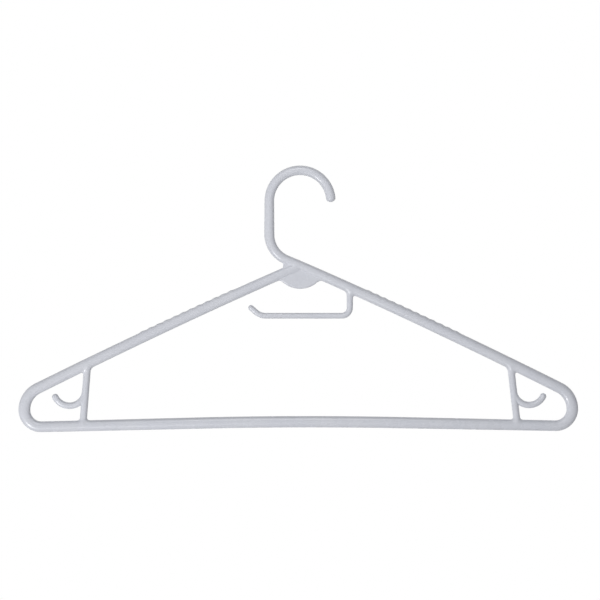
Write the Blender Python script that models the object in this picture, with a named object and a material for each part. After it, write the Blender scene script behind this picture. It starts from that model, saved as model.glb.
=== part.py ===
"""Coat hanger of white moulded plastic, with a trouser bar, a tie bar and two skirt hooks.

The frame is an oval bar that is bent in one plane. X is to the right, Z is up and the
front faces -Y. The origin is where a rail touches the inside of the hook. Metres.

The real hanger is one moulding. Its members are separate solids here, parted by GAP.
"""

from math import acos, asin, cos, pi, radians, sin, sqrt, tan

import bmesh
import bpy
from mathutils import Vector

# Parting of neighbours, and how far a cutter runs past what it cuts
GAP = 0.0003
OVERRUN = 0.001

# Sections, front to back
FRAME_DEPTH = 0.0066
POST_DEPTH = 0.0050
SKIRT_HOOK_DEPTH = 0.0048
TIE_DEPTH = 0.0044

# Hook and neck
HOOK_RADIUS = 0.0231
HOOK_WIDTH = 0.0071
HOOK_TIP_LENGTH = 0.0030
HOOK_TIP_ANGLE = 6.0
STEM_LENGTH = 0.0248
STEM_WIDTH = 0.0075
NECK_RADIUS = 0.0207
NECK_WIDTH = 0.0069
NECK_OVERLAP = 0.0085

# Arms
ARM_ANGLE = 23.46
ARM_BOW_RADIUS = 4.18
ARM_REACH = 0.1958
ARM_INNER_WIDTH = 0.0074
ARM_OUTER_WIDTH = 0.0082

# Low ridges on top of the arms, which keep straps from slipping
RIDGE_COUNT = 12
RIDGE_START = 0.0520
RIDGE_PITCH = 0.0066
RIDGE_HEIGHT = 0.00045

# Round ends
END_UPPER_RADIUS = 0.0177
END_UPPER_TURN = 64.9
END_LOWER_RADIUS = 0.01265
END_WIDTH = 0.0088

# Trouser bar along the bottom: two straight slopes that meet in a slight crown
BAR_SLOPE = 1.24
BAR_CROWN_RADIUS = 3.48
BAR_END_WIDTH = 0.0079
BAR_MIDDLE_WIDTH = 0.0084

# Thin web in the crotch of the arms
WEB_RADIUS = 0.0194
WEB_DROP = 0.0173
WEB_THICKNESS = 0.0038
WEB_EDGE_ROUND = 0.0009
GUSSET_REACH = 0.0038

# Posts that carry the skirt hooks. They lean outwards at the foot, the right one more
POST_INSET = 0.0343
LEFT_POST_LEAN = 0.0035
RIGHT_POST_LEAN = 0.0053
POST_WIDTH = 0.0052

# Skirt hooks, open at the top and outwards
SKIRT_BOWL_RADIUS = 0.0094
SKIRT_HOOK_WIDTH = 0.0048
SKIRT_HOOK_DROP = 0.0195
SKIRT_TIP_LENGTH = 0.0023
SKIRT_TIP_DROP = 26.3

# Tie bar on its own post
TIE_DROP = 0.0375
TIE_WIDTH = 0.0042
TIE_POST_OFFSET = 0.0374
TIE_POST_WIDTH = 0.0046
TIE_BEND_RADIUS = 0.0061
TIE_BAR_LENGTH = 0.0570
TIE_TIP_RADIUS = 0.0114
TIE_TIP_ANGLE = 41.0
TIE_TIP_RUN = 0.0048
TIE_TIP_LENGTH = 0.0020

# Fillet where a thin member meets the frame
FILLET_RADIUS = 0.0020

# Fineness of the meshes
FRAME_SIDES = 16
THIN_SIDES = 12
STEPS_PER_RADIAN = 7
RIDGE_STEPS = 4
WEB_STEPS = 24
WEB_EDGE_STEPS = 2
TIP_STEPS = 4
FILLET_STEPS = 3
SMOOTH_ANGLE = 50.0

# Colour of the plastic, its gloss, and how it reflects
PLASTIC_COLOUR = (0.78, 0.79, 0.81, 1.0)
PLASTIC_ROUGHNESS = 0.38
PLASTIC_METALLIC = 0.0


class Station:
    """A place on a member's axis: its point and heading in X and Z, and its section."""

    def __init__(self, point, heading, width, depth, ridge=0.0):
        self.point = Vector(point)
        self.heading = Vector(heading).normalized()
        self.width = width
        self.depth = depth
        self.ridge = ridge

    def moved(self, distance):
        """A copy further along the heading."""
        return Station(self.point + self.heading * distance, self.heading, self.width, self.depth)


# Axes of the members

def polar(centre, radius, angle):
    return Vector((centre[0] + radius * cos(angle), centre[1] + radius * sin(angle)))


HOOK_CENTRE = Vector((0.0, HOOK_WIDTH / 2 - HOOK_RADIUS))
STEM_FOOT = HOOK_CENTRE + Vector((-HOOK_RADIUS, -STEM_LENGTH))
NECK_CENTRE = STEM_FOOT + Vector((NECK_RADIUS, 0.0))
NECK_END_ANGLE = pi + pi / 2 - radians(ARM_ANGLE)
NECK_END = polar(NECK_CENTRE, NECK_RADIUS, NECK_END_ANGLE)
ARM_CENTRE = polar(NECK_END, ARM_BOW_RADIUS, NECK_END_ANGLE)


def arm_angle_at(x):
    """Angle of the radius at which the right arm's axis passes over x."""
    return acos((x - ARM_CENTRE.x) / ARM_BOW_RADIUS)


def arm_height(x):
    """Height of the right arm's axis over x."""
    return ARM_CENTRE.y + sqrt(ARM_BOW_RADIUS ** 2 - (x - ARM_CENTRE.x) ** 2)


def neck_height(x):
    """Height over x of the neck's axis, in its bend or further down in its straight end."""
    if x > NECK_END.x:
        return arm_height(x)
    return NECK_CENTRE.y - sqrt(NECK_RADIUS ** 2 - (x - NECK_CENTRE.x) ** 2)


APEX = Vector((0.0, arm_height(0.0)))
APEX_ANGLE = arm_angle_at(0.0)
APEX_SLOPE = pi / 2 - APEX_ANGLE
ARM_END_ANGLE = arm_angle_at(ARM_REACH)
ARM_END = polar(ARM_CENTRE, ARM_BOW_RADIUS, ARM_END_ANGLE)

UPPER_CENTRE = polar(ARM_END, -END_UPPER_RADIUS, ARM_END_ANGLE)
UPPER_END_ANGLE = ARM_END_ANGLE - radians(END_UPPER_TURN)
UPPER_END = polar(UPPER_CENTRE, END_UPPER_RADIUS, UPPER_END_ANGLE)
LOWER_CENTRE = polar(UPPER_END, -END_LOWER_RADIUS, UPPER_END_ANGLE)

LOWER_END_ANGLE = -pi / 2 - radians(BAR_SLOPE)
BAR_END = polar(LOWER_CENTRE, END_LOWER_RADIUS, LOWER_END_ANGLE)
CROWN_END_X = BAR_CROWN_RADIUS * sin(radians(BAR_SLOPE))
CROWN_END = Vector((CROWN_END_X, BAR_END.y + (BAR_END.x - CROWN_END_X) * tan(radians(BAR_SLOPE))))
CROWN_CENTRE = Vector((0.0, CROWN_END.y - BAR_CROWN_RADIUS * cos(radians(BAR_SLOPE))))

POST_TOP_X = LOWER_CENTRE.x - POST_INSET
POST_TOP = Vector((POST_TOP_X, arm_height(POST_TOP_X)))


def post_foot(lean):
    """Where a post's axis meets the trouser bar's, on the straight slope of the bar."""
    x = POST_TOP.x + lean
    return Vector((x, BAR_END.y + (BAR_END.x - x) * tan(radians(BAR_SLOPE))))


def skirt_hook_centre(lean):
    """Centre of the bowl, beside a post that leans."""
    foot = post_foot(lean)
    share = SKIRT_HOOK_DROP / (POST_TOP.y - foot.y)
    axis = POST_TOP.lerp(foot, share)
    return axis + Vector((POST_WIDTH / 2 + SKIRT_BOWL_RADIUS, 0.0))


SKIRT_HOOK_RADIUS = SKIRT_BOWL_RADIUS + SKIRT_HOOK_WIDTH / 2

TIE_HEIGHT = APEX.y - TIE_DROP
TIE_POST_TOP = Vector((TIE_POST_OFFSET, arm_height(TIE_POST_OFFSET)))
TIE_BEND_CENTRE = Vector((TIE_POST_OFFSET - TIE_BEND_RADIUS, TIE_HEIGHT + TIE_BEND_RADIUS))
TIE_BAR_END_X = TIE_BEND_CENTRE.x - TIE_BAR_LENGTH


# Runs of stations

def blend(start, end, share):
    return start + (end - start) * share


def arc_run(centre, radius, start, end, widths, depth):
    """Stations along an arc between two angles, which may run either way."""
    count = max(2, round(abs(end - start) * STEPS_PER_RADIAN))
    turn = 1 if end > start else -1
    run = []
    for index in range(count + 1):
        share = index / count
        angle = blend(start, end, share)
        heading = (-sin(angle) * turn, cos(angle) * turn)
        run.append(Station(polar(centre, radius, angle), heading, blend(*widths, share), depth))
    return run


def line_run(start, end, widths, depth, steps=1):
    """Stations along a straight line."""
    heading = end - start
    run = []
    for index in range(steps + 1):
        share = index / steps
        run.append(Station(start.lerp(end, share), heading, blend(*widths, share), depth))
    return run


def tip_run(station, length):
    """Stations that round off a free end, down to a point."""
    run = []
    for index in range(1, TIP_STEPS + 1):
        angle = pi / 2 * index / TIP_STEPS
        scale = cos(angle) if index < TIP_STEPS else 0.0
        place = station.point + station.heading * length * sin(angle)
        run.append(Station(place, station.heading, station.width * scale, station.depth * scale))
    return run


def reversed_run(run):
    """The same stations walked the other way."""
    return [Station(s.point, -s.heading, s.width, s.depth, s.ridge) for s in reversed(run)]


def mirrored_run(run):
    """The same stations on the other side of the hanger, walked towards the middle."""
    mirrored = []
    for station in reversed(run):
        point = (-station.point.x, station.point.y)
        heading = (station.heading.x, -station.heading.y)
        mirrored.append(Station(point, heading, station.width, station.depth))
    return mirrored


def fillet_run(start, heading, normal, cover, width, depth):
    """The root of a straight member, which widens into a fillet against what carries it.

    Its rings lie along the carrier, square to the carrier's normal, and the cover is how
    far the carrier's surface is from its axis.
    """
    heading = heading.normalized()
    normal = normal.normalized()
    slant = heading.dot(normal)
    places = [(0.0, FILLET_RADIUS)]
    for index in range(FILLET_STEPS + 1):
        rise = FILLET_RADIUS * (1 - cos(pi / 2 * index / FILLET_STEPS))
        flare = FILLET_RADIUS * (1 - sin(pi / 2 * index / FILLET_STEPS))
        places.append((cover + rise, flare))
    run = []
    for distance, flare in places:
        point = start + heading * (distance / slant)
        deep = min(depth + flare, FRAME_DEPTH - 2 * GAP)
        run.append(Station(point, normal, (width + 2 * flare) / slant, deep))
    return run


def arm_run(start_x, end_x):
    """Stations along the right arm, with its ridges, between two places over X."""
    start = arm_angle_at(start_x)
    end = arm_angle_at(end_x)
    first = APEX_ANGLE - RIDGE_START / ARM_BOW_RADIUS
    step = RIDGE_PITCH / ARM_BOW_RADIUS / RIDGE_STEPS
    angles = [start]
    for index in range(RIDGE_COUNT * RIDGE_STEPS + 1):
        angles.append(first - index * step)
    angles.append(end)
    run = []
    for index, angle in enumerate(angles):
        share = (APEX_ANGLE - angle) / (APEX_ANGLE - ARM_END_ANGLE)
        width = blend(ARM_INNER_WIDTH, ARM_OUTER_WIDTH, max(0.0, share))
        phase = pi * ((first - angle) / step / RIDGE_STEPS)
        inside = 0 < index < len(angles) - 1
        ridge = RIDGE_HEIGHT * sin(phase) ** 2 if inside else 0.0
        place = polar(ARM_CENTRE, ARM_BOW_RADIUS, angle)
        run.append(Station(place, (sin(angle), -cos(angle)), width, FRAME_DEPTH, ridge))
    return run


# Solids

def ring_points(station, sides, side):
    """Points round the oval section, with a ridge raised on its upper half."""
    across = Vector((-station.heading.y, station.heading.x))
    points = []
    for index in range(sides):
        angle = 2 * pi * index / sides
        reach = station.width / 2 * cos(angle) + station.ridge * max(0.0, cos(angle))
        flat = station.point + across * reach
        points.append(Vector((flat.x * side, station.depth / 2 * sin(angle), flat.y)))
    return points


def tube_mesh(name, stations, sides, side, origin):
    """A closed body swept through the stations. A station without width closes to a point."""
    mesh = bpy.data.meshes.new(name)
    body = bmesh.new()
    rings = []
    for station in stations:
        points = ring_points(station, sides, side)
        if station.width == 0.0:
            points = [Vector((station.point.x * side, 0.0, station.point.y))]
        rings.append([body.verts.new(point - origin) for point in points])
    for lower, upper in zip(rings, rings[1:]):
        for index in range(sides):
            after = (index + 1) % sides
            if len(lower) == 1:
                body.faces.new((lower[0], upper[index], upper[after]))
            elif len(upper) == 1:
                body.faces.new((lower[index], lower[after], upper[0]))
            else:
                body.faces.new((lower[index], lower[after], upper[after], upper[index]))
    for ring in (rings[0], rings[-1]):
        if len(ring) > 1:
            body.faces.new(ring)
    bmesh.ops.recalc_face_normals(body, faces=body.faces)
    body.to_mesh(mesh)
    body.free()
    return mesh


def plastic(name):
    """White plastic with a satin gloss."""
    material = bpy.data.materials.new(name + "_plastic")
    material.use_nodes = True
    shader = material.node_tree.nodes["Principled BSDF"]
    shader.inputs["Base Color"].default_value = PLASTIC_COLOUR
    shader.inputs["Roughness"].default_value = PLASTIC_ROUGHNESS
    shader.inputs["Metallic"].default_value = PLASTIC_METALLIC
    return material


def place(name, mesh, origin, parent):
    """Puts a mesh in the scene as a part of the hanger."""
    item = bpy.data.objects.new(name, mesh)
    bpy.context.scene.collection.objects.link(item)
    item.location = origin
    item.parent = parent
    mesh.materials.append(plastic(name))
    mesh.shade_smooth()
    mesh.set_sharp_from_angle(angle=radians(SMOOTH_ANGLE))
    return item


def member(name, stations, sides, parent, side=1):
    """A swept member whose origin is the middle station of its axis."""
    middle = stations[len(stations) // 2].point
    origin = Vector((middle.x * side, 0.0, middle.y))
    mesh = tube_mesh(name, stations, sides, side, origin)
    return place(name, mesh, origin, parent)


def cutter(name, stations, sides, parent, side=1):
    """The space that a swept member needs, with GAP all round. It isn't part of the hanger."""
    grown = [Station(s.point, s.heading, s.width + 2 * GAP, s.depth + 2 * GAP, s.ridge)
             for s in stations]
    grown[0].point -= grown[0].heading * OVERRUN
    grown[-1].point += grown[-1].heading * OVERRUN
    item = member(name, grown, sides, parent, side)
    item.hide_render = True
    item.display_type = "WIRE"
    return item


def cut(item, *cutters):
    """Takes the cutters' space out of an object."""
    for tool in cutters:
        modifier = item.modifiers.new("clear_of_" + tool.name, "BOOLEAN")
        modifier.operation = "DIFFERENCE"
        modifier.solver = "EXACT"
        modifier.object = tool


def plate(name, outline, rim_edges, parent):
    """A flat web between two faces. The first edges of its outline are free, and are rounded."""
    origin = Vector((APEX.x, 0.0, APEX.y))
    mesh = bpy.data.meshes.new(name)
    body = bmesh.new()
    half = WEB_THICKNESS / 2
    front = [body.verts.new(Vector((x, -half, z)) - origin) for x, z in outline]
    back = [body.verts.new(Vector((x, half, z)) - origin) for x, z in outline]
    body.faces.new(front)
    body.faces.new(back)
    for index in range(len(outline)):
        after = (index + 1) % len(outline)
        body.faces.new((front[index], front[after], back[after], back[index]))
    bmesh.ops.recalc_face_normals(body, faces=body.faces)
    rim = []
    for index in range(rim_edges):
        rim += [body.edges.get((side[index], side[index + 1])) for side in (front, back)]
    bmesh.ops.bevel(body, geom=rim, offset=WEB_EDGE_ROUND, segments=WEB_EDGE_STEPS, affect="EDGES")
    body.to_mesh(mesh)
    body.free()
    return place(name, mesh, origin, parent)


# Parts of the hanger

def neck_stations():
    """The stem below the hook, the bend, and the inner end of the right arm."""
    top = HOOK_CENTRE + Vector((-HOOK_RADIUS, -GAP))
    stem = line_run(top, STEM_FOOT, (HOOK_WIDTH, STEM_WIDTH), FRAME_DEPTH)
    bend = arc_run(NECK_CENTRE, NECK_RADIUS, pi, NECK_END_ANGLE, (STEM_WIDTH, NECK_WIDTH), FRAME_DEPTH)
    end = arm_run(NECK_OVERLAP, ARM_REACH)[0]
    return stem + bend[1:] + [end]


def make_hook(parent):
    """The half circle that hangs on the rail, with its rounded tip."""
    start = radians(HOOK_TIP_ANGLE)
    arc = arc_run(HOOK_CENTRE, HOOK_RADIUS, start, pi, (HOOK_WIDTH, HOOK_WIDTH), FRAME_DEPTH)
    backwards = reversed_run(arc)
    return member("hook", backwards + tip_run(backwards[-1], HOOK_TIP_LENGTH), FRAME_SIDES, parent)


def make_end_bend(name, side, parent):
    """The round end that joins an arm to the trouser bar."""
    half_gap = GAP / 2
    upper = arc_run(UPPER_CENTRE, END_UPPER_RADIUS, ARM_END_ANGLE - half_gap / END_UPPER_RADIUS,
                    UPPER_END_ANGLE, (ARM_OUTER_WIDTH, END_WIDTH), FRAME_DEPTH)
    lower = arc_run(LOWER_CENTRE, END_LOWER_RADIUS, UPPER_END_ANGLE,
                    LOWER_END_ANGLE + half_gap / END_LOWER_RADIUS, (END_WIDTH, BAR_END_WIDTH), FRAME_DEPTH)
    return member(name, upper + lower[1:], FRAME_SIDES, parent, side)


def bar_stations():
    """The trouser bar from end to end, a little higher and thicker in the middle."""
    level = pi / 2
    crown = arc_run(CROWN_CENTRE, BAR_CROWN_RADIUS, level, level - radians(BAR_SLOPE),
                    (BAR_MIDDLE_WIDTH, BAR_MIDDLE_WIDTH), FRAME_DEPTH)
    slope = BAR_END - CROWN_END
    end = BAR_END - slope.normalized() * GAP / 2
    half = crown + line_run(CROWN_END, end, (BAR_MIDDLE_WIDTH, BAR_END_WIDTH), FRAME_DEPTH)[1:]
    return mirrored_run(half)[:-1] + half


def post_stations(lean):
    """A post on the right, from inside the arm to inside the trouser bar."""
    foot = post_foot(lean)
    heading = foot - POST_TOP
    down = POST_TOP - polar(POST_TOP, ARM_BOW_RADIUS, arm_angle_at(POST_TOP.x))
    up = CROWN_END - CROWN_CENTRE
    top = fillet_run(POST_TOP, heading, down, ARM_OUTER_WIDTH / 2, POST_WIDTH, POST_DEPTH)
    bottom = fillet_run(foot, -heading, up, BAR_END_WIDTH / 2, POST_WIDTH, POST_DEPTH)
    return top + reversed_run(bottom)


def make_skirt_hook(name, lean, side, parent):
    """A bowl that starts at the post, and ends in a rounded tip on the outer side."""
    width = (SKIRT_HOOK_WIDTH, SKIRT_HOOK_WIDTH)
    end = 2 * pi - radians(SKIRT_TIP_DROP)
    arc = arc_run(skirt_hook_centre(lean), SKIRT_HOOK_RADIUS, pi, end, width, SKIRT_HOOK_DEPTH)
    return member(name, arc + tip_run(arc[-1], SKIRT_TIP_LENGTH), THIN_SIDES, parent, side)


def tie_stations():
    """The tie bar: down its post, round the bend, along to the left, and up at the tip."""
    foot = Vector((TIE_POST_OFFSET, TIE_BEND_CENTRE.y))
    widths = (TIE_POST_WIDTH, TIE_WIDTH)
    down = TIE_POST_TOP - polar(TIE_POST_TOP, ARM_BOW_RADIUS, arm_angle_at(TIE_POST_OFFSET))
    heading = foot - TIE_POST_TOP
    post = fillet_run(TIE_POST_TOP, heading, down, ARM_INNER_WIDTH / 2, TIE_POST_WIDTH, TIE_DEPTH)
    bend = arc_run(TIE_BEND_CENTRE, TIE_BEND_RADIUS, 0.0, -pi / 2, widths, TIE_DEPTH)
    end_centre = Vector((TIE_BAR_END_X, TIE_HEIGHT + TIE_TIP_RADIUS))
    curl = arc_run(end_centre, TIE_TIP_RADIUS, -pi / 2, -pi / 2 - radians(TIE_TIP_ANGLE),
                   (TIE_WIDTH, TIE_WIDTH), TIE_DEPTH)
    last = curl[-1].moved(TIE_TIP_RUN)
    return post + bend + curl + [last] + tip_run(last, TIE_TIP_LENGTH)


def web_outline():
    """The half disc under the crotch: its arc, closed along both arms' axes."""
    lift = WEB_RADIUS - WEB_DROP
    start = -APEX_SLOPE - asin(lift * cos(APEX_SLOPE) / WEB_RADIUS)
    centre = APEX + Vector((0.0, lift))
    points = []
    for index in range(WEB_STEPS + 1):
        angle = blend(start, -pi - start, index / WEB_STEPS)
        points.append(polar(centre, WEB_RADIUS, angle))
    points.append(APEX)
    return points


def gusset_outline():
    """The small web between the left arm and the neck, with its upright edge.

    It reaches out from the corner where the two members' surfaces part.
    """
    corner = (ARM_INNER_WIDTH + NECK_WIDTH) / 2 / (2 * sin(APEX_SLOPE))
    edge = -corner - GUSSET_REACH
    return [(edge, neck_height(edge)), (edge, arm_height(-edge)), APEX]


def build_hanger():
    hanger = bpy.data.objects.new("hanger", None)
    bpy.context.scene.collection.objects.link(hanger)

    neck = neck_stations()
    arm = arm_run(NECK_OVERLAP + GAP, ARM_REACH - GAP / 2)
    left = arm_run(0.0, ARM_REACH - GAP / 2)
    bar = bar_stations()

    neck_space = cutter("neck_space", neck, FRAME_SIDES, hanger)
    right_space = cutter("right_arm_space", arm, FRAME_SIDES, hanger)
    left_space = cutter("left_arm_space", left, FRAME_SIDES, hanger, -1)
    bar_space = cutter("bar_space", bar, FRAME_SIDES, hanger)

    make_hook(hanger)
    member("neck", neck, FRAME_SIDES, hanger)
    member("right_arm", arm, FRAME_SIDES, hanger)
    cut(member("left_arm", left, FRAME_SIDES, hanger, -1), neck_space)
    member("bottom_bar", bar, FRAME_SIDES, hanger)

    sides = (("left", -1, LEFT_POST_LEAN, left_space), ("right", 1, RIGHT_POST_LEAN, right_space))
    for name, side, lean, arm_space in sides:
        make_end_bend(name + "_end_bend", side, hanger)
        post = post_stations(lean)
        cut(member(name + "_post", post, THIN_SIDES, hanger, side), arm_space, bar_space)
        post_space = cutter(name + "_post_space", post, THIN_SIDES, hanger, side)
        cut(make_skirt_hook(name + "_skirt_hook", lean, side, hanger), post_space)

    cut(member("tie_bar", tie_stations(), THIN_SIDES, hanger), right_space)

    web = plate("neck_web", web_outline(), WEB_STEPS, hanger)
    cut(web, neck_space, left_space, right_space)
    gusset = plate("neck_gusset", gusset_outline(), 1, hanger)
    cut(gusset, neck_space, left_space)


for item in list(bpy.data.objects):
    bpy.data.objects.remove(item)
build_hanger()
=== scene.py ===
"""How the coat hanger looks: one smooth moulding of satin white plastic.

The real hanger is a single moulding, so its whole skin is worked out at once, as the place
where a distance field is zero, with soft fillets where its members meet. The skin is then
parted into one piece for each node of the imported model. The parting planes lie inside the
plastic, and both sides of a seam have the same normals, so no seam shows.

X is to the right, Z is up and the front faces -Y. The origin is where a rail touches the
inside of the hook. Metres.
"""

from math import acos, cos, pi, radians, sin, sqrt, tan

import bmesh
import bpy
import numpy as np
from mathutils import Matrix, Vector


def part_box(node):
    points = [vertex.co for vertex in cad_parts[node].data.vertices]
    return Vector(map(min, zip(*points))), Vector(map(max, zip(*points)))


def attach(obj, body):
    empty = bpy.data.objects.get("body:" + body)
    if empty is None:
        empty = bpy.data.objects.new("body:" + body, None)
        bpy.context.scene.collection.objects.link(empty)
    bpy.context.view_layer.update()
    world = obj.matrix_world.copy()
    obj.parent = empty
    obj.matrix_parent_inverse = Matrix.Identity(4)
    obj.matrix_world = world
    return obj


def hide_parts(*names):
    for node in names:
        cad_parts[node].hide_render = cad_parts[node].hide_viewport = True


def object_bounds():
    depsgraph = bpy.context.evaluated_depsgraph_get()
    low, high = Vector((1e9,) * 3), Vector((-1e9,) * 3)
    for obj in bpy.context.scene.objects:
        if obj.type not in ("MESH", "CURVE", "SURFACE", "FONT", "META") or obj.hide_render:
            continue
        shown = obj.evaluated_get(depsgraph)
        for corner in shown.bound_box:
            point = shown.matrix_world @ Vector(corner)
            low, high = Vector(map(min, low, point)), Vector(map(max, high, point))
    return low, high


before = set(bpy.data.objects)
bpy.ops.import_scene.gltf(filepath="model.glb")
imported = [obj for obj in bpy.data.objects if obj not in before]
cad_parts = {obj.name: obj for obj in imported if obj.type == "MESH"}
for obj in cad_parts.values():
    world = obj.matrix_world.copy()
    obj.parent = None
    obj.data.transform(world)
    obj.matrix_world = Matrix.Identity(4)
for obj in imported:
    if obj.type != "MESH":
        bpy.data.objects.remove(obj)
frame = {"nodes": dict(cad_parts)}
CAD_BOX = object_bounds()

# Dimensions of the hanger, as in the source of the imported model
FRAME_DEPTH = 0.0066
POST_DEPTH = 0.0050
SKIRT_HOOK_DEPTH = 0.0048
TIE_DEPTH = 0.0044
HOOK_RADIUS = 0.0231
HOOK_WIDTH = 0.0071
HOOK_TIP_LENGTH = 0.0030
HOOK_TIP_ANGLE = 6.0
STEM_LENGTH = 0.0248
STEM_WIDTH = 0.0075
NECK_RADIUS = 0.0207
NECK_WIDTH = 0.0069
NECK_OVERLAP = 0.0085
ARM_ANGLE = 23.46
ARM_BOW_RADIUS = 4.18
ARM_REACH = 0.1958
ARM_INNER_WIDTH = 0.0074
ARM_OUTER_WIDTH = 0.0082
RIDGE_COUNT = 12
RIDGE_START = 0.0520
RIDGE_PITCH = 0.0066
RIDGE_HEIGHT = 0.00045
END_UPPER_RADIUS = 0.0177
END_UPPER_TURN = 64.9
END_LOWER_RADIUS = 0.01265
END_WIDTH = 0.0088
BAR_SLOPE = 1.24
BAR_CROWN_RADIUS = 3.48
BAR_END_WIDTH = 0.0079
BAR_MIDDLE_WIDTH = 0.0084
WEB_RADIUS = 0.0194
WEB_DROP = 0.0173
WEB_THICKNESS = 0.0038
GUSSET_REACH = 0.0038
POST_INSET = 0.0343
LEFT_POST_LEAN = 0.0035
RIGHT_POST_LEAN = 0.0053
POST_WIDTH = 0.0052
SKIRT_BOWL_RADIUS = 0.0094
SKIRT_HOOK_WIDTH = 0.0048
SKIRT_HOOK_DROP = 0.0195
SKIRT_TIP_LENGTH = 0.0023
SKIRT_TIP_DROP = 26.3
TIE_DROP = 0.0375
TIE_WIDTH = 0.0042
TIE_POST_OFFSET = 0.0374
TIE_POST_WIDTH = 0.0046
TIE_BEND_RADIUS = 0.0061
TIE_BAR_LENGTH = 0.0570
TIE_TIP_RADIUS = 0.0114
TIE_TIP_ANGLE = 41.0
TIE_TIP_RUN = 0.0048
TIE_TIP_LENGTH = 0.0020

# Softness of the fillets, which is how close two surfaces are when they start to blend
NECK_BLEND = 0.00025
WEB_BLEND = 0.0030
WEB_FACE_BLEND = 0.00025
GUSSET_BLEND = 0.0001
POST_BLEND = 0.0023
SKIRT_BLEND = 0.0003
TIE_BLEND = 0.0026

# The left arm blends with the neck to the right of this. Its other end goes straight on into
# the trouser bar
NECK_BLEND_START = -0.06
NO_BLEND = 1e-9

# Rims of the thin webs, and how far their outline stays inside that of the members
WEB_RIM_ROUND = 0.0014
GUSSET_RIM_ROUND = 0.0007
WEB_INSET = 0.00006

# Faint line all round where the two halves of the mould met
PARTING_HEIGHT = 0.00005
PARTING_REACH = 0.00022

# Ends that are hidden inside another member: their roundness, and how far they stop short of
# its axis. Those of the left arm's run are nearly flat and don't stop short
BURIED_TIP = 0.0015
BURIED_STOP = 0.0016
FLAT_TIP = 0.0002

# Fineness of the skin: its cells across the hanger, half as large round the crotch, and their
# layers from front to back
CELL = 0.0007
CROTCH_REACH = 0.021
LAYERS = (0.00007, 0.00024, 0.0006, 0.0011, 0.0017, 0.0023, 0.0028, 0.0032, 0.0036)

# How far from the hanger the field is worked out, and its value where it isn't
MARGIN = 0.0016
FAR = 0.05

# How often the mesh is evened out, and moved onto the skin. The field's slope is read over a
# short step, and its square isn't taken to be less than a quarter
RELAX_ROUNDS = 3
SETTLE_ROUNDS = 3
SLOPE_STEP = 0.00001
LEAST_STEEPNESS = 0.25

# How far outside a member the plane lies that parts it from a member which it carries
SEAM_STANDOFF = 0.0003
SKIRT_SEAM_STANDOFF = 0.0002

# How far the parting planes reach from their middles. Two of them, below and above the left
# arm, have their middles some way down the arm
FRAME_CUT = 0.0080
THIN_CUT = 0.0065
SKIRT_CUT = 0.0085
NECK_CUT = 0.0070
RIGHT_WEB_CUT = 0.0230
LEFT_WEB_CUT = 0.0180
LEFT_WEB_MIDDLE = 0.0090
GUSSET_CUT = 0.0080
GUSSET_MIDDLE = 0.0110
CUT_TOLERANCE = 1e-7


# Axes of the members, in X and Z

def polar(centre, radius, angle):
    return Vector((centre[0] + radius * cos(angle), centre[1] + radius * sin(angle)))


def mirrored(point):
    return Vector((-point[0], point[1]))


HOOK_CENTRE = Vector((0.0, HOOK_WIDTH / 2 - HOOK_RADIUS))
STEM_TOP = HOOK_CENTRE + Vector((-HOOK_RADIUS, 0.0))
STEM_FOOT = HOOK_CENTRE + Vector((-HOOK_RADIUS, -STEM_LENGTH))
NECK_CENTRE = STEM_FOOT + Vector((NECK_RADIUS, 0.0))
NECK_END_ANGLE = pi + pi / 2 - radians(ARM_ANGLE)
NECK_END = polar(NECK_CENTRE, NECK_RADIUS, NECK_END_ANGLE)
ARM_CENTRE = polar(NECK_END, ARM_BOW_RADIUS, NECK_END_ANGLE)


def arm_angle_at(x):
    """Angle of the radius at which the right arm's axis passes over x."""
    return acos((x - ARM_CENTRE.x) / ARM_BOW_RADIUS)


def arm_height(x):
    """Height of the right arm's axis over x."""
    return ARM_CENTRE.y + sqrt(ARM_BOW_RADIUS ** 2 - (x - ARM_CENTRE.x) ** 2)


APEX = Vector((0.0, arm_height(0.0)))
APEX_ANGLE = arm_angle_at(0.0)
APEX_SLOPE = pi / 2 - APEX_ANGLE
ARM_END_ANGLE = arm_angle_at(ARM_REACH)
ARM_END = polar(ARM_CENTRE, ARM_BOW_RADIUS, ARM_END_ANGLE)
UPPER_CENTRE = polar(ARM_END, -END_UPPER_RADIUS, ARM_END_ANGLE)
UPPER_END_ANGLE = ARM_END_ANGLE - radians(END_UPPER_TURN)
UPPER_END = polar(UPPER_CENTRE, END_UPPER_RADIUS, UPPER_END_ANGLE)
LOWER_CENTRE = polar(UPPER_END, -END_LOWER_RADIUS, UPPER_END_ANGLE)
LOWER_END_ANGLE = -pi / 2 - radians(BAR_SLOPE)
BAR_END = polar(LOWER_CENTRE, END_LOWER_RADIUS, LOWER_END_ANGLE)
CROWN_END_X = BAR_CROWN_RADIUS * sin(radians(BAR_SLOPE))
CROWN_RISE = (BAR_END.x - CROWN_END_X) * tan(radians(BAR_SLOPE))
CROWN_END = Vector((CROWN_END_X, BAR_END.y + CROWN_RISE))
CROWN_CENTRE = Vector((0.0, CROWN_END.y - BAR_CROWN_RADIUS * cos(radians(BAR_SLOPE))))
POST_TOP_X = LOWER_CENTRE.x - POST_INSET
POST_TOP = Vector((POST_TOP_X, arm_height(POST_TOP_X)))
SKIRT_HOOK_RADIUS = SKIRT_BOWL_RADIUS + SKIRT_HOOK_WIDTH / 2
TIE_HEIGHT = APEX.y - TIE_DROP
TIE_POST_TOP = Vector((TIE_POST_OFFSET, arm_height(TIE_POST_OFFSET)))
TIE_BEND_CENTRE = Vector((TIE_POST_OFFSET - TIE_BEND_RADIUS, TIE_HEIGHT + TIE_BEND_RADIUS))
TIE_BAR_END_X = TIE_BEND_CENTRE.x - TIE_BAR_LENGTH
WEB_CENTRE = APEX + Vector((0.0, WEB_RADIUS - WEB_DROP))
GUSSET_CORNER = (ARM_INNER_WIDTH + NECK_WIDTH) / 2 / (2 * sin(APEX_SLOPE))
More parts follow.
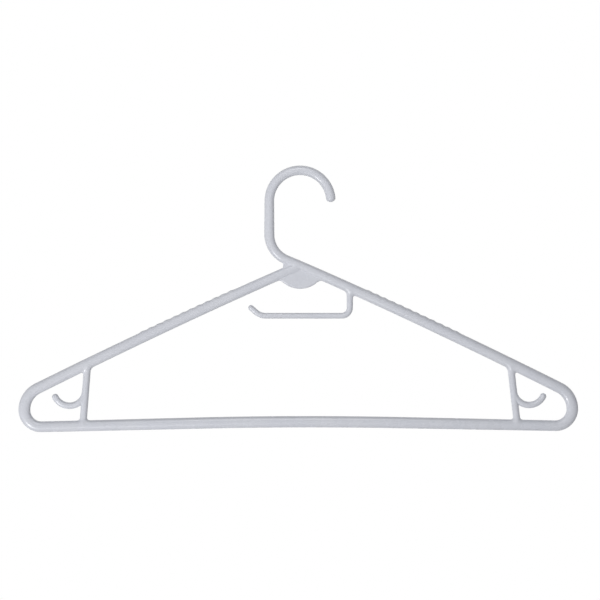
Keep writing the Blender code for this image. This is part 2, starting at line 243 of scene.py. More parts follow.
GUSSET_EDGE = -GUSSET_CORNER - GUSSET_REACH


def post_foot(lean):
    """Where a post's axis meets the trouser bar's."""
    x = POST_TOP.x + lean
    return Vector((x, BAR_END.y + (BAR_END.x - x) * tan(radians(BAR_SLOPE))))


def skirt_hook_centre(lean):
    """Centre of the bowl, beside a post that leans."""
    foot = post_foot(lean)
    axis = POST_TOP.lerp(foot, SKIRT_HOOK_DROP / (POST_TOP.y - foot.y))
    return axis + Vector((POST_WIDTH / 2 + SKIRT_BOWL_RADIUS, 0.0))


# Stretches of axis. Each says, for points in X and Z, how far they are across the axis and
# beyond its end, and how wide the member is there

class Line:
    """A straight stretch between two points, with the member's width at both."""

    def __init__(self, start, end, widths):
        self.start = np.array(start)
        run = np.array(end) - self.start
        self.length = float(np.hypot(*run))
        self.along = run / self.length
        self.widths = widths

    def flipped(self):
        start = self.start * (-1, 1)
        end = (self.start + self.along * self.length) * (-1, 1)
        return Line(start, end, self.widths)

    def read(self, x, z):
        dx, dz = x - self.start[0], z - self.start[1]
        run = dx * self.along[0] + dz * self.along[1]
        across = dz * self.along[0] - dx * self.along[1]
        held = np.clip(run, 0.0, self.length)
        width = self.widths[0] + (self.widths[1] - self.widths[0]) * held / self.length
        return across, np.abs(run - held), width / 2


class Arc:
    """A stretch along an arc between two angles, which may run either way."""

    def __init__(self, centre, radius, start, end, widths, ridged=False, side=1):
        self.centre = centre
        self.radius = radius
        self.start = start
        self.end = end
        self.widths = widths
        self.ridged = ridged
        self.side = side

    def flipped(self):
        return Arc(self.centre, self.radius, self.start, self.end, self.widths, self.ridged,
                   -self.side)

    def read(self, x, z):
        x = x * self.side
        dx, dz = x - self.centre[0], z - self.centre[1]
        middle = (self.start + self.end) / 2
        half = abs(self.end - self.start) / 2
        turn = np.arctan2(dz, dx) - middle
        turn = (turn + pi) % (2 * pi) - pi
        held = np.clip(turn, -half, half)
        angle = middle + held
        across = dx * np.cos(angle) + dz * np.sin(angle) - self.radius
        beyond = np.abs(dz * np.cos(angle) - dx * np.sin(angle))
        share = (angle - self.start) / (self.end - self.start)
        half_width = (self.widths[0] + (self.widths[1] - self.widths[0]) * share) / 2
        if self.ridged:
            place = ((APEX_ANGLE - angle) * ARM_BOW_RADIUS - RIDGE_START) / RIDGE_PITCH
            inside = (place > 0.0) & (place < RIDGE_COUNT) & (across > 0.0)
            half_width = half_width + np.where(inside, RIDGE_HEIGHT * np.sin(pi * place) ** 2, 0.0)
        return across, beyond, half_width


def hypotenuse(a, b, c):
    return np.sqrt(a * a + b * b + c * c)


class Member:
    """A bar of oval section that follows a run of stretches and ends in rounded tips."""

    def __init__(self, stretches, depth, tip=BURIED_TIP):
        self.stretches = stretches
        self.half_depth = depth / 2
        self.tip = tip

    def read(self, x, z):
        best = None
        for stretch in self.stretches:
            found = stretch.read(x, z)
            distance = np.hypot(found[0], found[1])
            if best is None:
                best, nearest = list(found), distance
                continue
            closer = distance < nearest
            nearest = np.where(closer, distance, nearest)
            best = [np.where(closer, new, old) for new, old in zip(found, best)]
        return best

    def distance(self, flat, y):
        across, beyond, half_width = flat
        tip, depth = self.tip, self.half_depth
        scaled = hypotenuse(across / half_width, beyond / tip, y / depth)
        steepness = hypotenuse(across / half_width ** 2, beyond / tip ** 2, y / depth ** 2)
        return scaled * (scaled - 1.0) / (steepness + 1.0)


def soft_min(a, b, blend):
    """The lower of two distances, rounded off where they are less than a blend apart."""
    share = np.maximum(blend - np.abs(a - b), 0.0) / blend
    return np.minimum(a, b) - share * share * blend / 4


def plate_distance(outline, y, half, rim):
    """A flat plate with a rounded rim, from the distance to its outline."""
    side = outline + rim
    face = np.abs(y) - half + rim
    outer = np.hypot(np.maximum(side, 0.0), np.maximum(face, 0.0))
    return outer + np.minimum(np.maximum(side, face), 0.0) - rim


# Members of the hanger

RIGHT_ARM = [
    Arc(ARM_CENTRE, ARM_BOW_RADIUS, NECK_END_ANGLE - pi, arm_angle_at(NECK_OVERLAP),
        (NECK_WIDTH, ARM_INNER_WIDTH)),
    Arc(ARM_CENTRE, ARM_BOW_RADIUS, arm_angle_at(NECK_OVERLAP), ARM_END_ANGLE,
        (ARM_INNER_WIDTH, ARM_OUTER_WIDTH), ridged=True),
]
LEFT_ARM = Arc(ARM_CENTRE, ARM_BOW_RADIUS, APEX_ANGLE, ARM_END_ANGLE,
               (ARM_INNER_WIDTH, ARM_OUTER_WIDTH), ridged=True, side=-1)
END_BEND = [
    Arc(UPPER_CENTRE, END_UPPER_RADIUS, ARM_END_ANGLE, UPPER_END_ANGLE,
        (ARM_OUTER_WIDTH, END_WIDTH)),
    Arc(LOWER_CENTRE, END_LOWER_RADIUS, UPPER_END_ANGLE, LOWER_END_ANGLE,
        (END_WIDTH, BAR_END_WIDTH)),
]
BAR_HALF = Line(BAR_END, CROWN_END, (BAR_END_WIDTH, BAR_MIDDLE_WIDTH))
BAR = [
    BAR_HALF,
    Arc(CROWN_CENTRE, BAR_CROWN_RADIUS, pi / 2 - radians(BAR_SLOPE), pi / 2 + radians(BAR_SLOPE),
        (BAR_MIDDLE_WIDTH, BAR_MIDDLE_WIDTH)),
    BAR_HALF.flipped(),
]
HOOK = Arc(HOOK_CENTRE, HOOK_RADIUS, radians(HOOK_TIP_ANGLE), pi, (HOOK_WIDTH, HOOK_WIDTH))
STEM = Line(STEM_TOP, STEM_FOOT, (HOOK_WIDTH, STEM_WIDTH))
NECK_BEND = Arc(NECK_CENTRE, NECK_RADIUS, pi, NECK_END_ANGLE, (STEM_WIDTH, NECK_WIDTH))


def post_member(lean, side):
    foot = post_foot(lean)
    stop = (foot - POST_TOP).normalized() * BURIED_STOP
    line = Line(POST_TOP + stop, foot - stop, (POST_WIDTH, POST_WIDTH))
    return Member([line if side > 0 else line.flipped()], POST_DEPTH)


def skirt_member(lean, side):
    widths = (SKIRT_HOOK_WIDTH, SKIRT_HOOK_WIDTH)
    bowl = Arc(skirt_hook_centre(lean), SKIRT_HOOK_RADIUS, pi, 2 * pi - radians(SKIRT_TIP_DROP),
               widths, side=side)
    return Member([bowl], SKIRT_HOOK_DEPTH, SKIRT_TIP_LENGTH)


def tie_member():
    """Down its post, round the bend, along to the left, and up at the tip."""
    foot = Vector((TIE_POST_OFFSET, TIE_BEND_CENTRE.y))
    bend_end = Vector((TIE_BEND_CENTRE.x, TIE_HEIGHT))
    bar_end = Vector((TIE_BAR_END_X, TIE_HEIGHT))
    curl_centre = bar_end + Vector((0.0, TIE_TIP_RADIUS))
    curl_angle = -pi / 2 - radians(TIE_TIP_ANGLE)
    curl_end = polar(curl_centre, TIE_TIP_RADIUS, curl_angle)
    last = curl_end + Vector((sin(curl_angle), -cos(curl_angle))) * TIE_TIP_RUN
    thin = (TIE_WIDTH, TIE_WIDTH)
    return Member([
        Line(TIE_POST_TOP - Vector((0.0, BURIED_STOP)), foot, (TIE_POST_WIDTH, TIE_POST_WIDTH)),
        Arc(TIE_BEND_CENTRE, TIE_BEND_RADIUS, 0.0, -pi / 2, (TIE_POST_WIDTH, TIE_WIDTH)),
        Line(bend_end, bar_end, thin),
        Arc(curl_centre, TIE_TIP_RADIUS, -pi / 2, curl_angle, thin),
        Line(curl_end, last, thin),
    ], TIE_DEPTH, TIE_TIP_LENGTH)


MAIN = Member([HOOK, STEM, NECK_BEND] + RIGHT_ARM + END_BEND + BAR, FRAME_DEPTH, HOOK_TIP_LENGTH)
LEFT = Member([LEFT_ARM] + [arc.flipped() for arc in END_BEND], FRAME_DEPTH, FLAT_TIP)
SIDES = ((LEFT_POST_LEAN, -1), (RIGHT_POST_LEAN, 1))
POSTS = [post_member(lean, side) for lean, side in SIDES]
SKIRT_HOOKS = [skirt_member(lean, side) for lean, side in SIDES]
TIE = tie_member()


def band(offset, width):
    """Distance to the strip between an axis and a line beside it."""
    return np.abs(offset - width / 2) - width / 2


def web_outlines(x, z):
    """Distances to the outlines of the web in the crotch and of the gusset at the neck."""
    right = np.hypot(x - ARM_CENTRE.x, z - ARM_CENTRE.y) - ARM_BOW_RADIUS
    left = np.hypot(-x - ARM_CENTRE.x, z - ARM_CENTRE.y) - ARM_BOW_RADIUS
    arm_half = ARM_INNER_WIDTH / 2 - WEB_INSET
    disc = np.hypot(x - WEB_CENTRE.x, z - WEB_CENTRE.y) - WEB_RADIUS
    web = np.maximum(disc, np.maximum(right, left))
    arms = np.minimum(np.maximum(band(-right, arm_half), -x), np.maximum(band(-left, arm_half), x))
    web = soft_min(web, arms, WEB_BLEND)
    web = np.maximum(web, disc - WEB_BLEND)

    bend = NECK_RADIUS - np.hypot(x - NECK_CENTRE.x, z - NECK_CENTRE.y)
    neck = np.where(x < NECK_END.x, bend, right)
    neck_half = NECK_WIDTH / 2 - WEB_INSET
    gusset = np.maximum(GUSSET_EDGE - x, np.maximum(neck, -left))
    above_arm = np.maximum(band(-neck, neck_half), -left)
    beside_neck = np.maximum(band(left, arm_half), neck)
    gusset = soft_min(gusset, np.minimum(above_arm, beside_neck), GUSSET_BLEND)
    gusset = np.maximum(gusset, np.maximum(GUSSET_EDGE - GUSSET_BLEND - x, x))
    gusset = np.maximum(gusset, z - NECK_CENTRE.y)
    return web, gusset


def read_plan(x, z):
    """All that the field needs to know in X and Z alone."""
    members = [MAIN, LEFT, TIE] + POSTS + SKIRT_HOOKS
    return [member.read(x, z) for member in members] + [web_outlines(x, z)]


def field(plan, x, y):
    """Distance to the skin, less than zero inside, and nearly true close to the skin."""
    main, left, tie, post_left, post_right, skirt_left, skirt_right, webs = plan
    neck_blend = np.where(x > NECK_BLEND_START, NECK_BLEND, NO_BLEND)
    body = soft_min(MAIN.distance(main, y), LEFT.distance(left, y), neck_blend)
    web = plate_distance(webs[0], y, WEB_THICKNESS / 2, WEB_RIM_ROUND)
    gusset = plate_distance(webs[1], y, WEB_THICKNESS / 2, GUSSET_RIM_ROUND)
    body = soft_min(body, web, WEB_FACE_BLEND)
    body = soft_min(body, gusset, WEB_FACE_BLEND)
    body = soft_min(body, TIE.distance(tie, y), TIE_BLEND)
    for member, flat in zip(POSTS, (post_left, post_right)):
        body = soft_min(body, member.distance(flat, y), POST_BLEND)
    for member, flat in zip(SKIRT_HOOKS, (skirt_left, skirt_right)):
        body = soft_min(body, member.distance(flat, y), SKIRT_BLEND)
    return body - PARTING_HEIGHT * np.maximum(1.0 - np.abs(y) / PARTING_REACH, 0.0)


def read_field(points):
    x, y, z = points.T
    return field(read_plan(x, z), x, y)


def read_slope(points):
    """Gradient of the field, by central differences."""
    slope = np.empty_like(points)
    for axis in range(3):
        step = np.zeros(3)
        step[axis] = SLOPE_STEP
        rise = read_field(points + step) - read_field(points - step)
        slope[:, axis] = rise / (2 * SLOPE_STEP)
    return slope


# The skin as a mesh

def settle(points, rounds=SETTLE_ROUNDS):
    """Moves points onto the skin along the slope of the field."""
    for _ in range(rounds):
        slope = read_slope(points)
        steep = np.maximum((slope ** 2).sum(axis=1), LEAST_STEEPNESS)
        shift = np.clip(read_field(points) / steep, -CELL, CELL)
        points = points - shift[:, None] * slope
    return points


def graded(low, high, fine_low, fine_high):
    """Grid places along one side, closer together in its fine stretch."""
    return np.concatenate([np.arange(low, fine_low, CELL),
                           np.arange(fine_low, fine_high, CELL / 2),
                           np.arange(fine_high, high, CELL)])


def sample_field():
    """The field on a grid round the hanger. Columns far from any member are left out."""
    lowest = np.array(CAD_BOX[0]) - MARGIN
    highest = np.array(CAD_BOX[1]) + MARGIN
    xs = graded(lowest[0], highest[0], -CROTCH_REACH, CROTCH_REACH)
    zs = graded(lowest[2], highest[2], APEX.y - CROTCH_REACH, APEX.y + CROTCH_REACH / 2)
    ys = np.array([-layer for layer in reversed(LAYERS)] + list(LAYERS))
    x, z = [grid.ravel() for grid in np.meshgrid(xs, zs, indexing="ij")]
    plan = read_plan(x, z)
    gaps = [np.hypot(flat[0], flat[1]) - flat[2] for flat in plan[:-1]] + list(plan[-1])
    near = np.min(gaps, axis=0) < MARGIN
    plan = [[part[near][:, None] for part in flat] for flat in plan]
    values = np.full((len(xs) * len(zs), len(ys)), FAR)
    values[near] = field(plan, x[near][:, None], ys[None, :])
    values = values.reshape(len(xs), len(zs), len(ys)).transpose(0, 2, 1)
    return (xs, ys, zs), values


def surface_net(axes, values):
    """One vertex in each cell that the skin passes through, and a face for each edge of the
    grid that it crosses."""
    inside = values < 0.0
    corners = [(i, j, k) for i in (0, 1) for j in (0, 1) for k in (0, 1)]
    shape = [size - 1 for size in values.shape]
    count = np.zeros(shape, np.uint8)
    for i, j, k in corners:
        count += inside[i:i + shape[0], j:j + shape[1], k:k + shape[2]]
    cells = np.argwhere((count > 0) & (count < len(corners)))
    number = np.full(shape, -1, np.int32)
    number[tuple(cells.T)] = np.arange(len(cells))

    total = np.zeros((len(cells), 3))
    crossings = np.zeros(len(cells))
    for first in corners:
        for axis in range(3):
            if first[axis]:
                continue
            second = tuple(1 if a == axis else v for a, v in enumerate(first))
            low = values[tuple((cells + first).T)]
            high = values[tuple((cells + second).T)]
            crossed = (low < 0.0) != (high < 0.0)
            share = np.where(crossed, low / np.where(crossed, low - high, 1.0), 0.0)
            for a in range(3):
                place = share if a == axis else float(first[a])
                total[:, a] += crossed * place
            crossings += crossed
    share = total / crossings[:, None]
    points = np.empty_like(total)
    for a in range(3):
        low = axes[a][cells[:, a]]
        high = axes[a][cells[:, a] + 1]
        points[:, a] = low + (high - low) * share[:, a]

    faces = []
    for axis in range(3):
        b, c = (axis + 1) % 3, (axis + 2) % 3
        start = [slice(None)] * 3
        end = [slice(None)] * 3
        start[axis] = slice(None, -1)
        end[axis] = slice(1, None)
        leaving = inside[tuple(start)] & ~inside[tuple(end)]
        entering = ~inside[tuple(start)] & inside[tuple(end)]
        for mask, turned in ((leaving, False), (entering, True)):
            edge = np.argwhere(mask)
            ring = []
            for down_b, down_c in ((1, 1), (0, 1), (0, 0), (1, 0)):
                cell = edge.copy()
                cell[:, b] -= down_b
                cell[:, c] -= down_c
                ring.append(number[tuple(cell.T)])
            quads = np.stack(ring, axis=1)
            faces.append(quads[:, ::-1] if turned else quads)
    return points, np.concatenate(faces)


def relax(points, faces):
    """Evens out the mesh along the skin."""
    ends = np.concatenate([faces[:, [i, (i + 1) % 4]] for i in range(4)])
    degree = np.bincount(ends[:, 0], minlength=len(points))
    for _ in range(RELAX_ROUNDS):
        sums = [np.bincount(ends[:, 0], points[ends[:, 1], a], len(points)) for a in range(3)]
        mean = np.stack(sums, axis=1) / degree[:, None]
        points = settle((points + mean) / 2, 1)
    return points


def make_skin():
    points, faces = surface_net(*sample_field())
    points = settle(points)
    points = relax(points, faces)
    points = settle(points, 2)
    mesh = bpy.data.meshes.new("skin")
    mesh.from_pydata(points.tolist(), [], faces.tolist())
    body = bmesh.new()
    body.from_mesh(mesh)
    bpy.data.meshes.remove(mesh)
    body.faces.layers.int.new("seam")
    return body


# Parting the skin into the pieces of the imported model

def upright(point):
    return Vector((point[0], 0.0, point[1]))


def hanging_together(faces, allowed=lambda face: True):
    """The faces, and all others that hang together with them through allowed ones."""
    found = list(faces)
    known = set(found)
    for face in found:
        for edge in face.edges:
            for other in edge.link_faces:
                if other not in known and allowed(other):
                    known.add(other)
                    found.append(other)
    return found


def faces_round(body, seed, place, reach):
    """Faces within reach of a place that hang together with the vertex nearest to a seed."""
    first = min(body.verts, key=lambda vert: (vert.co - seed).length_squared)

    def within_reach(face):
        return any((vert.co - place).length < reach for vert in face.verts)

    return hanging_together(first.link_faces, within_reach)


def close_holes(body, edges):
    """Puts a flat face on every open loop."""
    seam = body.faces.layers.int["seam"]
    after = {}
    for edge in edges:
        if edge.is_boundary:
            loop = edge.link_loops[0]
            after[loop.link_loop_next.vert] = loop.vert
    while after:
        first = next(iter(after))
        ring = [first]
        while True:
            vert = after.pop(ring[-1])
            if vert == first:
                break
            ring.append(vert)
        body.faces.new(ring)[seam] = 1


def part_along(body, place, normal, reach, seed=None):
    """Parts the moulding along a plane, only within reach of a place, and closes both sides.

    The seed is a point on the part that is cut, if that isn't the nearest one to the place.
    """
    place, normal = upright(place), upright(normal).normalized()
    near = faces_round(body, upright(seed) if seed else place, place, reach)
    edges = dict.fromkeys(edge for face in near for edge in face.edges)
    verts = dict.fromkeys(vert for face in near for vert in face.verts)
    result = bmesh.ops.bisect_plane(body, geom=near + list(edges) + list(verts),
                                    dist=CUT_TOLERANCE, plane_co=place, plane_no=normal)
    crossed = [item for item in result["geom_cut"] if isinstance(item, bmesh.types.BMEdge)]
    bmesh.ops.split_edges(body, edges=crossed)
    faces = [item for item in result["geom"] if isinstance(item, bmesh.types.BMFace)]
    close_holes(body, [edge for face in faces for edge in face.edges])


def arm_width_at(x):
    share = (APEX_ANGLE - arm_angle_at(x)) / (APEX_ANGLE - ARM_END_ANGLE)
    return ARM_INNER_WIDTH + (ARM_OUTER_WIDTH - ARM_INNER_WIDTH) * share


def bar_width_at(x):
    share = (x - CROWN_END.x) / (BAR_END.x - CROWN_END.x)
    return BAR_MIDDLE_WIDTH + (BAR_END_WIDTH - BAR_MIDDLE_WIDTH) * share


def part_crotch(body):
    """Parts the neck and the right arm from the left arm, the web and the gusset, and then from
    each other."""
    across = polar((0.0, 0.0), 1.0, APEX_ANGLE)
    left_across = mirrored(across)
    left_along = Vector((-left_across.y, left_across.x))
    standoff = ARM_INNER_WIDTH / 2 + SEAM_STANDOFF
    web_foot = APEX - Vector((0.0, WEB_DROP))
    gusset_height = arm_height(-GUSSET_EDGE) + (ARM_INNER_WIDTH + GUSSET_REACH) / 2
    gusset_side = Vector((GUSSET_EDGE, gusset_height))
    below_left = APEX - left_across * standoff + left_along * LEFT_WEB_MIDDLE
    above_left = APEX + left_across * standoff + left_along * GUSSET_MIDDLE
    part_along(body, APEX - across * standoff, across, RIGHT_WEB_CUT, web_foot)
    part_along(body, below_left, left_across, LEFT_WEB_CUT, web_foot)
    part_along(body, above_left, left_across, GUSSET_CUT, gusset_side)
    angle = arm_angle_at(NECK_OVERLAP)
    middle = polar(ARM_CENTRE, ARM_BOW_RADIUS, angle)
    top = polar(middle, ARM_INNER_WIDTH / 2, angle)
    part_along(body, middle, (sin(angle), -cos(angle)), NECK_CUT, top)


def part_post(body, lean, side):
    """Parts a post from the arm and from the trouser bar, and its skirt hook from the post."""
    foot = post_foot(lean)
    heading = (foot - POST_TOP).normalized()
    down = polar((0.0, 0.0), -1.0, arm_angle_at(POST_TOP.x))
    up = (CROWN_END - CROWN_CENTRE).normalized()
    top = POST_TOP + heading * (arm_width_at(POST_TOP.x) / 2 + SEAM_STANDOFF) / heading.dot(down)
    bottom = foot - heading * (bar_width_at(foot.x) / 2 + SEAM_STANDOFF) / -heading.dot(up)
    beside = skirt_hook_centre(lean) + Vector((SKIRT_SEAM_STANDOFF - SKIRT_BOWL_RADIUS, 0.0))
    beside += heading * SKIRT_HOOK_RADIUS / 2
    outwards = (-heading.y, heading.x)
    cuts = ((top, down, THIN_CUT), (bottom, up, THIN_CUT), (beside, outwards, SKIRT_CUT))
    for place, normal, reach in cuts:
        part_along(body, (place[0] * side, place[1]), (normal[0] * side, normal[1]), reach)


def part_skin(body):
    part_along(body, STEM_TOP, (0.0, 1.0), FRAME_CUT)
    part_crotch(body)
    for lean, side in SIDES:
        arm_end = (ARM_END.x * side, ARM_END.y)
        bar_end = (BAR_END.x * side, BAR_END.y)
        part_along(body, arm_end, (sin(ARM_END_ANGLE) * side, -cos(ARM_END_ANGLE)), FRAME_CUT)
        part_along(body, bar_end, (-sin(LOWER_END_ANGLE) * side, cos(LOWER_END_ANGLE)), FRAME_CUT)
        part_post(body, lean, side)
    down = polar((0.0, 0.0), -1.0, arm_angle_at(TIE_POST_OFFSET))
    drop = (arm_width_at(TIE_POST_OFFSET) / 2 + SEAM_STANDOFF) / down.y
    part_along(body, TIE_POST_TOP + Vector((0.0, drop)), down, THIN_CUT)


def split_pieces(body):
    """Faces of each separate piece."""
    pieces, taken = [], set()
    for face in body.faces:
        if face not in taken:
            pieces.append(hanging_together([face]))
            taken.update(pieces[-1])
    return pieces


def piece_mesh(name, faces, seam):
    """A mesh of its own for a piece, with the skin's normals, and flat ones in its seams."""
    verts = {}
    rings, seams = [], []
    for face in faces:
        rings.append([verts.setdefault(vert, len(verts)) for vert in face.verts])
        seams.append(face[seam] == 1)
    points = np.array([vert.co for vert in verts], float)
    slope = read_slope(points)
    slope /= np.linalg.norm(slope, axis=1)[:, None]
    mesh = bpy.data.meshes.new(name)
    mesh.from_pydata(points.tolist(), [], rings)
    mesh.polygons.foreach_set("use_smooth", [not flat for flat in seams])
    normals = []
    for polygon, flat in zip(mesh.polygons, seams):
        if flat:
            normals += [tuple(polygon.normal)] * polygon.loop_total
        else:
            normals += [tuple(slope[index]) for index in polygon.vertices]
    mesh.normals_split_custom_set(normals)
    mesh.update()
    return mesh


def node_for(mesh_points):
    """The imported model's node whose box is nearest to that of the points."""
    lowest, highest = mesh_points.min(axis=0), mesh_points.max(axis=0)

    def difference(name):
        low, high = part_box(name)
        return np.abs(np.array(low) - lowest).sum() + np.abs(np.array(high) - highest).sum()

    return min(frame["nodes"], key=difference)


def add_object(name, data):
    item = bpy.data.objects.new(name, data)
    bpy.context.scene.collection.objects.link(item)
    return item


def make_pieces(material):
    body = make_skin()
    part_skin(body)
    seam = body.faces.layers.int["seam"]
    taken = set()
    for faces in split_pieces(body):
        points = np.array([vert.co for face in faces for vert in face.verts], float)
        node = node_for(points)
        if node in taken:
            raise RuntimeError("two pieces stand for " + node)
        mesh = piece_mesh(node + "_moulding", faces, seam)
        mesh.materials.append(material)
        piece = add_object(node + "_moulding", mesh)
        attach(piece, "root")
        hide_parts(node)
        taken.add(node)
    body.free()
    missing = set(frame["nodes"]) - taken
    if missing:
        raise RuntimeError("no piece for " + ", ".join(sorted(missing)))


# Plastic

# Two tints in large soft clouds, and two degrees of gloss in smaller ones. A range is the part
# of the noise's values over which one goes over into the other
PLASTIC_LIGHT = (0.700, 0.713, 0.764, 1.0)
PLASTIC_DEEP = (0.675, 0.690, 0.748, 1.0)
CLOUD_SCALE = 45.0
CLOUD_RANGE = (0.35, 0.65)
ROUGHNESS = (0.23, 0.31)
GLOSS_SCALE = 160.0
GLOSS_RANGE = (0.3, 0.7)
WAVE_SCALE = 150.0
GRAIN_SCALE = 2600.0
INDEX_OF_REFRACTION = 1.5

# Heights in the surface, in metres
WAVE_HEIGHT = 0.000035
GRAIN_HEIGHT = 0.000006
SCRATCH_HEIGHT = 0.000010
PIN_DEPTH = 0.000030
PIN_RING_DEPTH = 0.000040
GATE_HEIGHT = 0.000120

# Where the rail rubs the hook: a point below its inner top, how far the wear reaches, and how
# it breaks up into patches
RUB_PLACE = (0.0, 0.0, -0.0020)
RUB_REACH = (0.0030, 0.0085)
RUB_POLISH = 0.07
RUB_PATCH_SCALE = 700.0
RUB_PATCH_RANGE = (0.35, 0.6)
RUB_PATCH_LEAST = 0.5
SCRATCH_SCALE = 3200.0
SCRATCH_STRETCH = (1.0, 0.05, 1.0)

# Hands and clothes polish what faces up
HANDLED_FACING = (0.3, 0.9)
HANDLED_SCALE = 60.0
HANDLED_POLISH = 0.04

# Round marks on the back, where the pins pushed the moulding out, and the cut-off feed point
PIN_RADIUS = 0.0014
PIN_EDGE = 0.00025
PIN_PLACES_ON_ARM = (0.034, 0.100, 0.166)
PIN_PLACES_ON_BAR = (0.055, 0.140)
GATE_RADIUS = 0.0009


class Nodes:
    """Short forms for building a node tree."""

    def __init__(self, tree):
        self.tree = tree
        tree.nodes.clear()

    def add(self, kind, inputs=None, **settings):
        node = self.tree.nodes.new(kind)
        for key, value in settings.items():
            setattr(node, key, value)
        for key, value in (inputs or {}).items():
            if isinstance(value, bpy.types.NodeSocket):
                self.tree.links.new(value, node.inputs[key])
            else:
                node.inputs[key].default_value = value
        return node

    def maths(self, operation, *values):
        node = self.add("ShaderNodeMath", dict(enumerate(values)), operation=operation)
        return node.outputs[0]

    def vector_maths(self, operation, first, second):
        return self.add("ShaderNodeVectorMath", {0: first, 1: second}, operation=operation)

    def distance(self, place, centre):
        return self.vector_maths("DISTANCE", place, centre).outputs["Value"]

    def weighted(self, *terms):
        """Sum of values, each times its weight."""
        total = 0.0
        for value, weight in terms:
            total = self.maths("MULTIPLY_ADD", value, weight, total)
        return total

    def noise(self, vector, scale, detail=2.0):
        node = self.add("ShaderNodeTexNoise", {"Vector": vector, "Scale": scale, "Detail": detail})
        return node.outputs["Fac"]

    def remap(self, value, low, high, new_low, new_high):
        node = self.add("ShaderNodeMapRange", {"Value": value, "From Min": low, "From Max": high,
                                               "To Min": new_low, "To Max": new_high})
        return node.outputs["Result"]


def pin_places():
    places = []
    for side in (-1, 1):
        places += [(side * x, 0.0, arm_height(x)) for x in PIN_PLACES_ON_ARM]
        places += [(side * x, 0.0, CROWN_END.y - (x - CROWN_END.x) * tan(radians(BAR_SLOPE)))
                   for x in PIN_PLACES_ON_BAR]
    return places


def plastic_material():
    material = bpy.data.materials.new("satin_white_plastic")
    material.use_nodes = True
    n = Nodes(material.node_tree)
    place = n.add("ShaderNodeTexCoord").outputs["Object"]
    clouds = n.remap(n.noise(place, CLOUD_SCALE, detail=3.0), *CLOUD_RANGE, 0.0, 1.0)

    # Rail and hands
    rub = n.remap(n.distance(place, RUB_PLACE), *RUB_REACH, 1.0, 0.0)
    patches = n.remap(n.noise(place, RUB_PATCH_SCALE), *RUB_PATCH_RANGE, RUB_PATCH_LEAST, 1.0)
    rub = n.maths("MULTIPLY", rub, patches)
    stretched = n.vector_maths("MULTIPLY", place, SCRATCH_STRETCH).outputs["Vector"]
    scratches = n.maths("MULTIPLY", n.noise(stretched, SCRATCH_SCALE, detail=3.0), rub)
    normal = n.add("ShaderNodeNewGeometry").outputs["Normal"]
    facing_up = n.add("ShaderNodeSeparateXYZ", {"Vector": normal}).outputs["Z"]
    handled = n.remap(facing_up, *HANDLED_FACING, 0.0, 1.0)
    handled = n.maths("MULTIPLY", handled, n.noise(place, HANDLED_SCALE))

    # Marks of the mould on the back
    flat_place = n.vector_maths("MULTIPLY", place, (1.0, 0.0, 1.0)).outputs["Vector"]
    depth = n.add("ShaderNodeSeparateXYZ", {"Vector": place}).outputs["Y"]
    on_back = n.maths("GREATER_THAN", depth, 0.0)
    pin = 1.0
    for spot in pin_places():
        pin = n.maths("MINIMUM", n.distance(flat_place, spot), pin)
    disc = n.remap(pin, PIN_RADIUS - PIN_EDGE, PIN_RADIUS, 1.0, 0.0)
    from_ring = n.maths("ABSOLUTE", n.maths("SUBTRACT", pin, PIN_RADIUS))
    ring = n.remap(from_ring, 0.0, PIN_EDGE, 1.0, 0.0)
    gate = n.distance(flat_place, (0.0, 0.0, APEX.y - WEB_DROP / 2))
    gate = n.remap(gate, GATE_RADIUS - PIN_EDGE, GATE_RADIUS, 1.0, 0.0)
    marks = n.weighted((disc, -PIN_DEPTH), (ring, -PIN_RING_DEPTH), (gate, GATE_HEIGHT))
    marks = n.maths("MULTIPLY", marks, on_back)

    height = n.weighted((n.noise(place, GRAIN_SCALE), GRAIN_HEIGHT),
                        (n.noise(place, WAVE_SCALE, detail=1.0), WAVE_HEIGHT),
                        (scratches, SCRATCH_HEIGHT))
    height = n.maths("ADD", height, marks)
    bump = n.add("ShaderNodeBump", {"Strength": 1.0, "Distance": 1.0, "Height": height})
    rough = n.remap(n.noise(place, GLOSS_SCALE, detail=3.0), *GLOSS_RANGE, *ROUGHNESS)
    wear = n.weighted((rub, -RUB_POLISH), (scratches, RUB_POLISH), (handled, -HANDLED_POLISH))
    rough = n.maths("ADD", rough, wear)
    # A mix node's colours are its inputs 6 and 7 and its output 2
    tint = n.add("ShaderNodeMix", {0: n.maths("MAXIMUM", clouds, rub), 6: PLASTIC_LIGHT,
                                   7: PLASTIC_DEEP}, data_type="RGBA").outputs[2]
    shader = n.add("ShaderNodeBsdfPrincipled", {
        "Base Color": tint, "Roughness": rough, "IOR": INDEX_OF_REFRACTION,
        "Specular IOR Level": 0.5, "Normal": bump.outputs["Normal"]})
    n.add("ShaderNodeOutputMaterial", {"Surface": shader.outputs["BSDF"]})
    return material


# Camera, light and floor

CAMERA_DISTANCE = 1.5
CAMERA_YAW = 2.527
CAMERA_AIM = Vector((-0.00005, 0.0, -0.09367))
CAMERA_LENS = 120.05
CAMERA_ROLL = -0.0006
CAMERA_CLIP = (0.05, 30.0)
SENSOR_WIDTH = 36.0


def make_camera():
    data = bpy.data.cameras.new("camera")
    data.lens = CAMERA_LENS
    data.sensor_width = SENSOR_WIDTH
    data.sensor_fit = "HORIZONTAL"
    data.clip_start, data.clip_end = CAMERA_CLIP
    item = add_object("camera", data)
    yaw = radians(CAMERA_YAW)
    view = Vector((sin(yaw), cos(yaw), 0.0))
    item.location = CAMERA_AIM - view * CAMERA_DISTANCE
    item.rotation_euler = (pi / 2, CAMERA_ROLL, -yaw)
    bpy.context.scene.camera = item


# Name, place, side length in metres and watts of each lamp, and the place that all point at
LAMPS = (
    ("low", (-0.72, -0.82, -0.85), 0.3, 6.9),
    ("top", (0.0, -0.53, 0.43), 0.35, 1.4),
    ("glint", (-0.18, -1.0, -0.84), 0.15, 0.7),
)
LAMP_AIM = Vector((0.0, 0.0, -0.1))


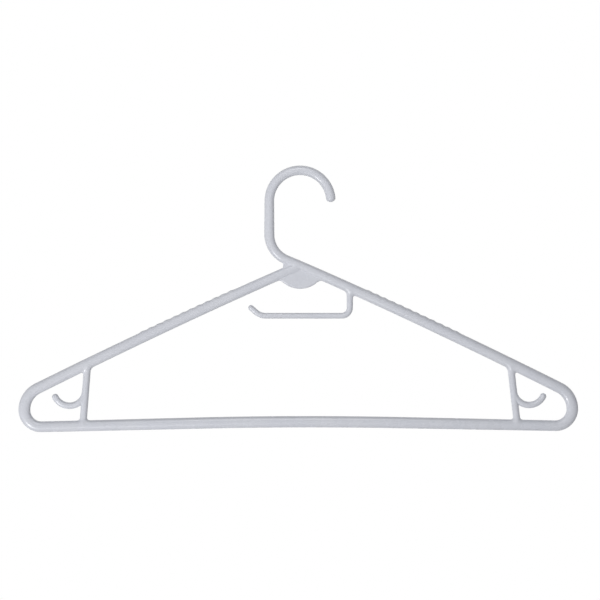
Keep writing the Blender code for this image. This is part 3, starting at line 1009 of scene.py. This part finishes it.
def make_lamp(name, place, size, power):
    data = bpy.data.lights.new(name, "AREA")
    data.shape = "SQUARE"
    data.size = size
    data.energy = power
    item = add_object(name, data)
    item.location = place
    item.rotation_euler = (LAMP_AIM - item.location).to_track_quat("-Z", "Y").to_euler()


WHITE = (1.0, 1.0, 1.0, 1.0)

# Soft light from all round, stronger from some sides: towards each of them, and how strong
WORLD_COLOUR = (0.97, 0.98, 1.0, 1.0)
AMBIENT = 0.08
GLOWS = (
    ((0.0, -0.6, -0.77), 2.3),
    ((-0.25, -0.5, 0.8), 0.35),
    ((-0.64, 0.77, 0.0), 1.2),
)
GLOW_SPREAD = 3.0


def make_world():
    """The soft light, and a white background for the camera and for reflections."""
    world = bpy.data.worlds.new("studio")
    bpy.context.scene.world = world
    world.use_nodes = True
    n = Nodes(world.node_tree)
    path = n.add("ShaderNodeLightPath")
    seen = n.maths("MAXIMUM", path.outputs["Is Camera Ray"], path.outputs["Is Glossy Ray"])
    seen = n.maths("MAXIMUM", seen, path.outputs["Is Transmission Ray"])
    towards = n.add("ShaderNodeTexCoord").outputs["Generated"]
    strength = AMBIENT
    for place, power in GLOWS:
        cosine = n.vector_maths("DOT_PRODUCT", towards, Vector(place).normalized())
        facing = n.maths("MAXIMUM", cosine.outputs["Value"], 0.0)
        facing = n.maths("POWER", facing, GLOW_SPREAD)
        strength = n.maths("MULTIPLY_ADD", facing, power, strength)
    light = n.add("ShaderNodeBackground", {"Color": WORLD_COLOUR, "Strength": strength})
    white = n.add("ShaderNodeBackground", {"Color": WHITE, "Strength": 1.0})
    mix = n.add("ShaderNodeMixShader", {0: seen, 1: light.outputs[0], 2: white.outputs[0]})
    n.add("ShaderNodeOutputWorld", {"Surface": mix.outputs[0]})


# A round floor, well below the picture. It glows faintly where it is seen, to stay pale
FLOOR_HEIGHT = -1.3
FLOOR_RADIUS = 3.2
FLOOR_SIDES = 128
FLOOR_COLOUR = (0.8, 0.8, 0.8, 1.0)
FLOOR_GLOW = 0.45


def make_floor():
    mesh = bpy.data.meshes.new("floor")
    turns = [2 * pi * k / FLOOR_SIDES for k in range(FLOOR_SIDES)]
    rim = [polar((0.0, 0.0), FLOOR_RADIUS, turn) for turn in turns]
    mesh.from_pydata([(point.x, point.y, FLOOR_HEIGHT) for point in rim], [], [range(FLOOR_SIDES)])
    floor = add_object("floor", mesh)
    material = bpy.data.materials.new("pale_floor")
    material.use_nodes = True
    n = Nodes(material.node_tree)
    path = n.add("ShaderNodeLightPath")
    seen = n.maths("MAXIMUM", path.outputs["Is Camera Ray"], path.outputs["Is Glossy Ray"])
    lift = n.maths("MULTIPLY", seen, FLOOR_GLOW)
    paint = n.add("ShaderNodeBsdfDiffuse", {"Color": FLOOR_COLOUR})
    glow = n.add("ShaderNodeEmission", {"Color": WHITE, "Strength": lift})
    both = n.add("ShaderNodeAddShader", {0: paint.outputs[0], 1: glow.outputs[0]})
    n.add("ShaderNodeOutputMaterial", {"Surface": both.outputs[0]})
    mesh.materials.append(material)


make_camera()
make_world()
for lamp in LAMPS:
    make_lamp(*lamp)
make_floor()
make_pieces(plastic_material())
bpy.context.scene.view_settings.view_transform = "Standard"
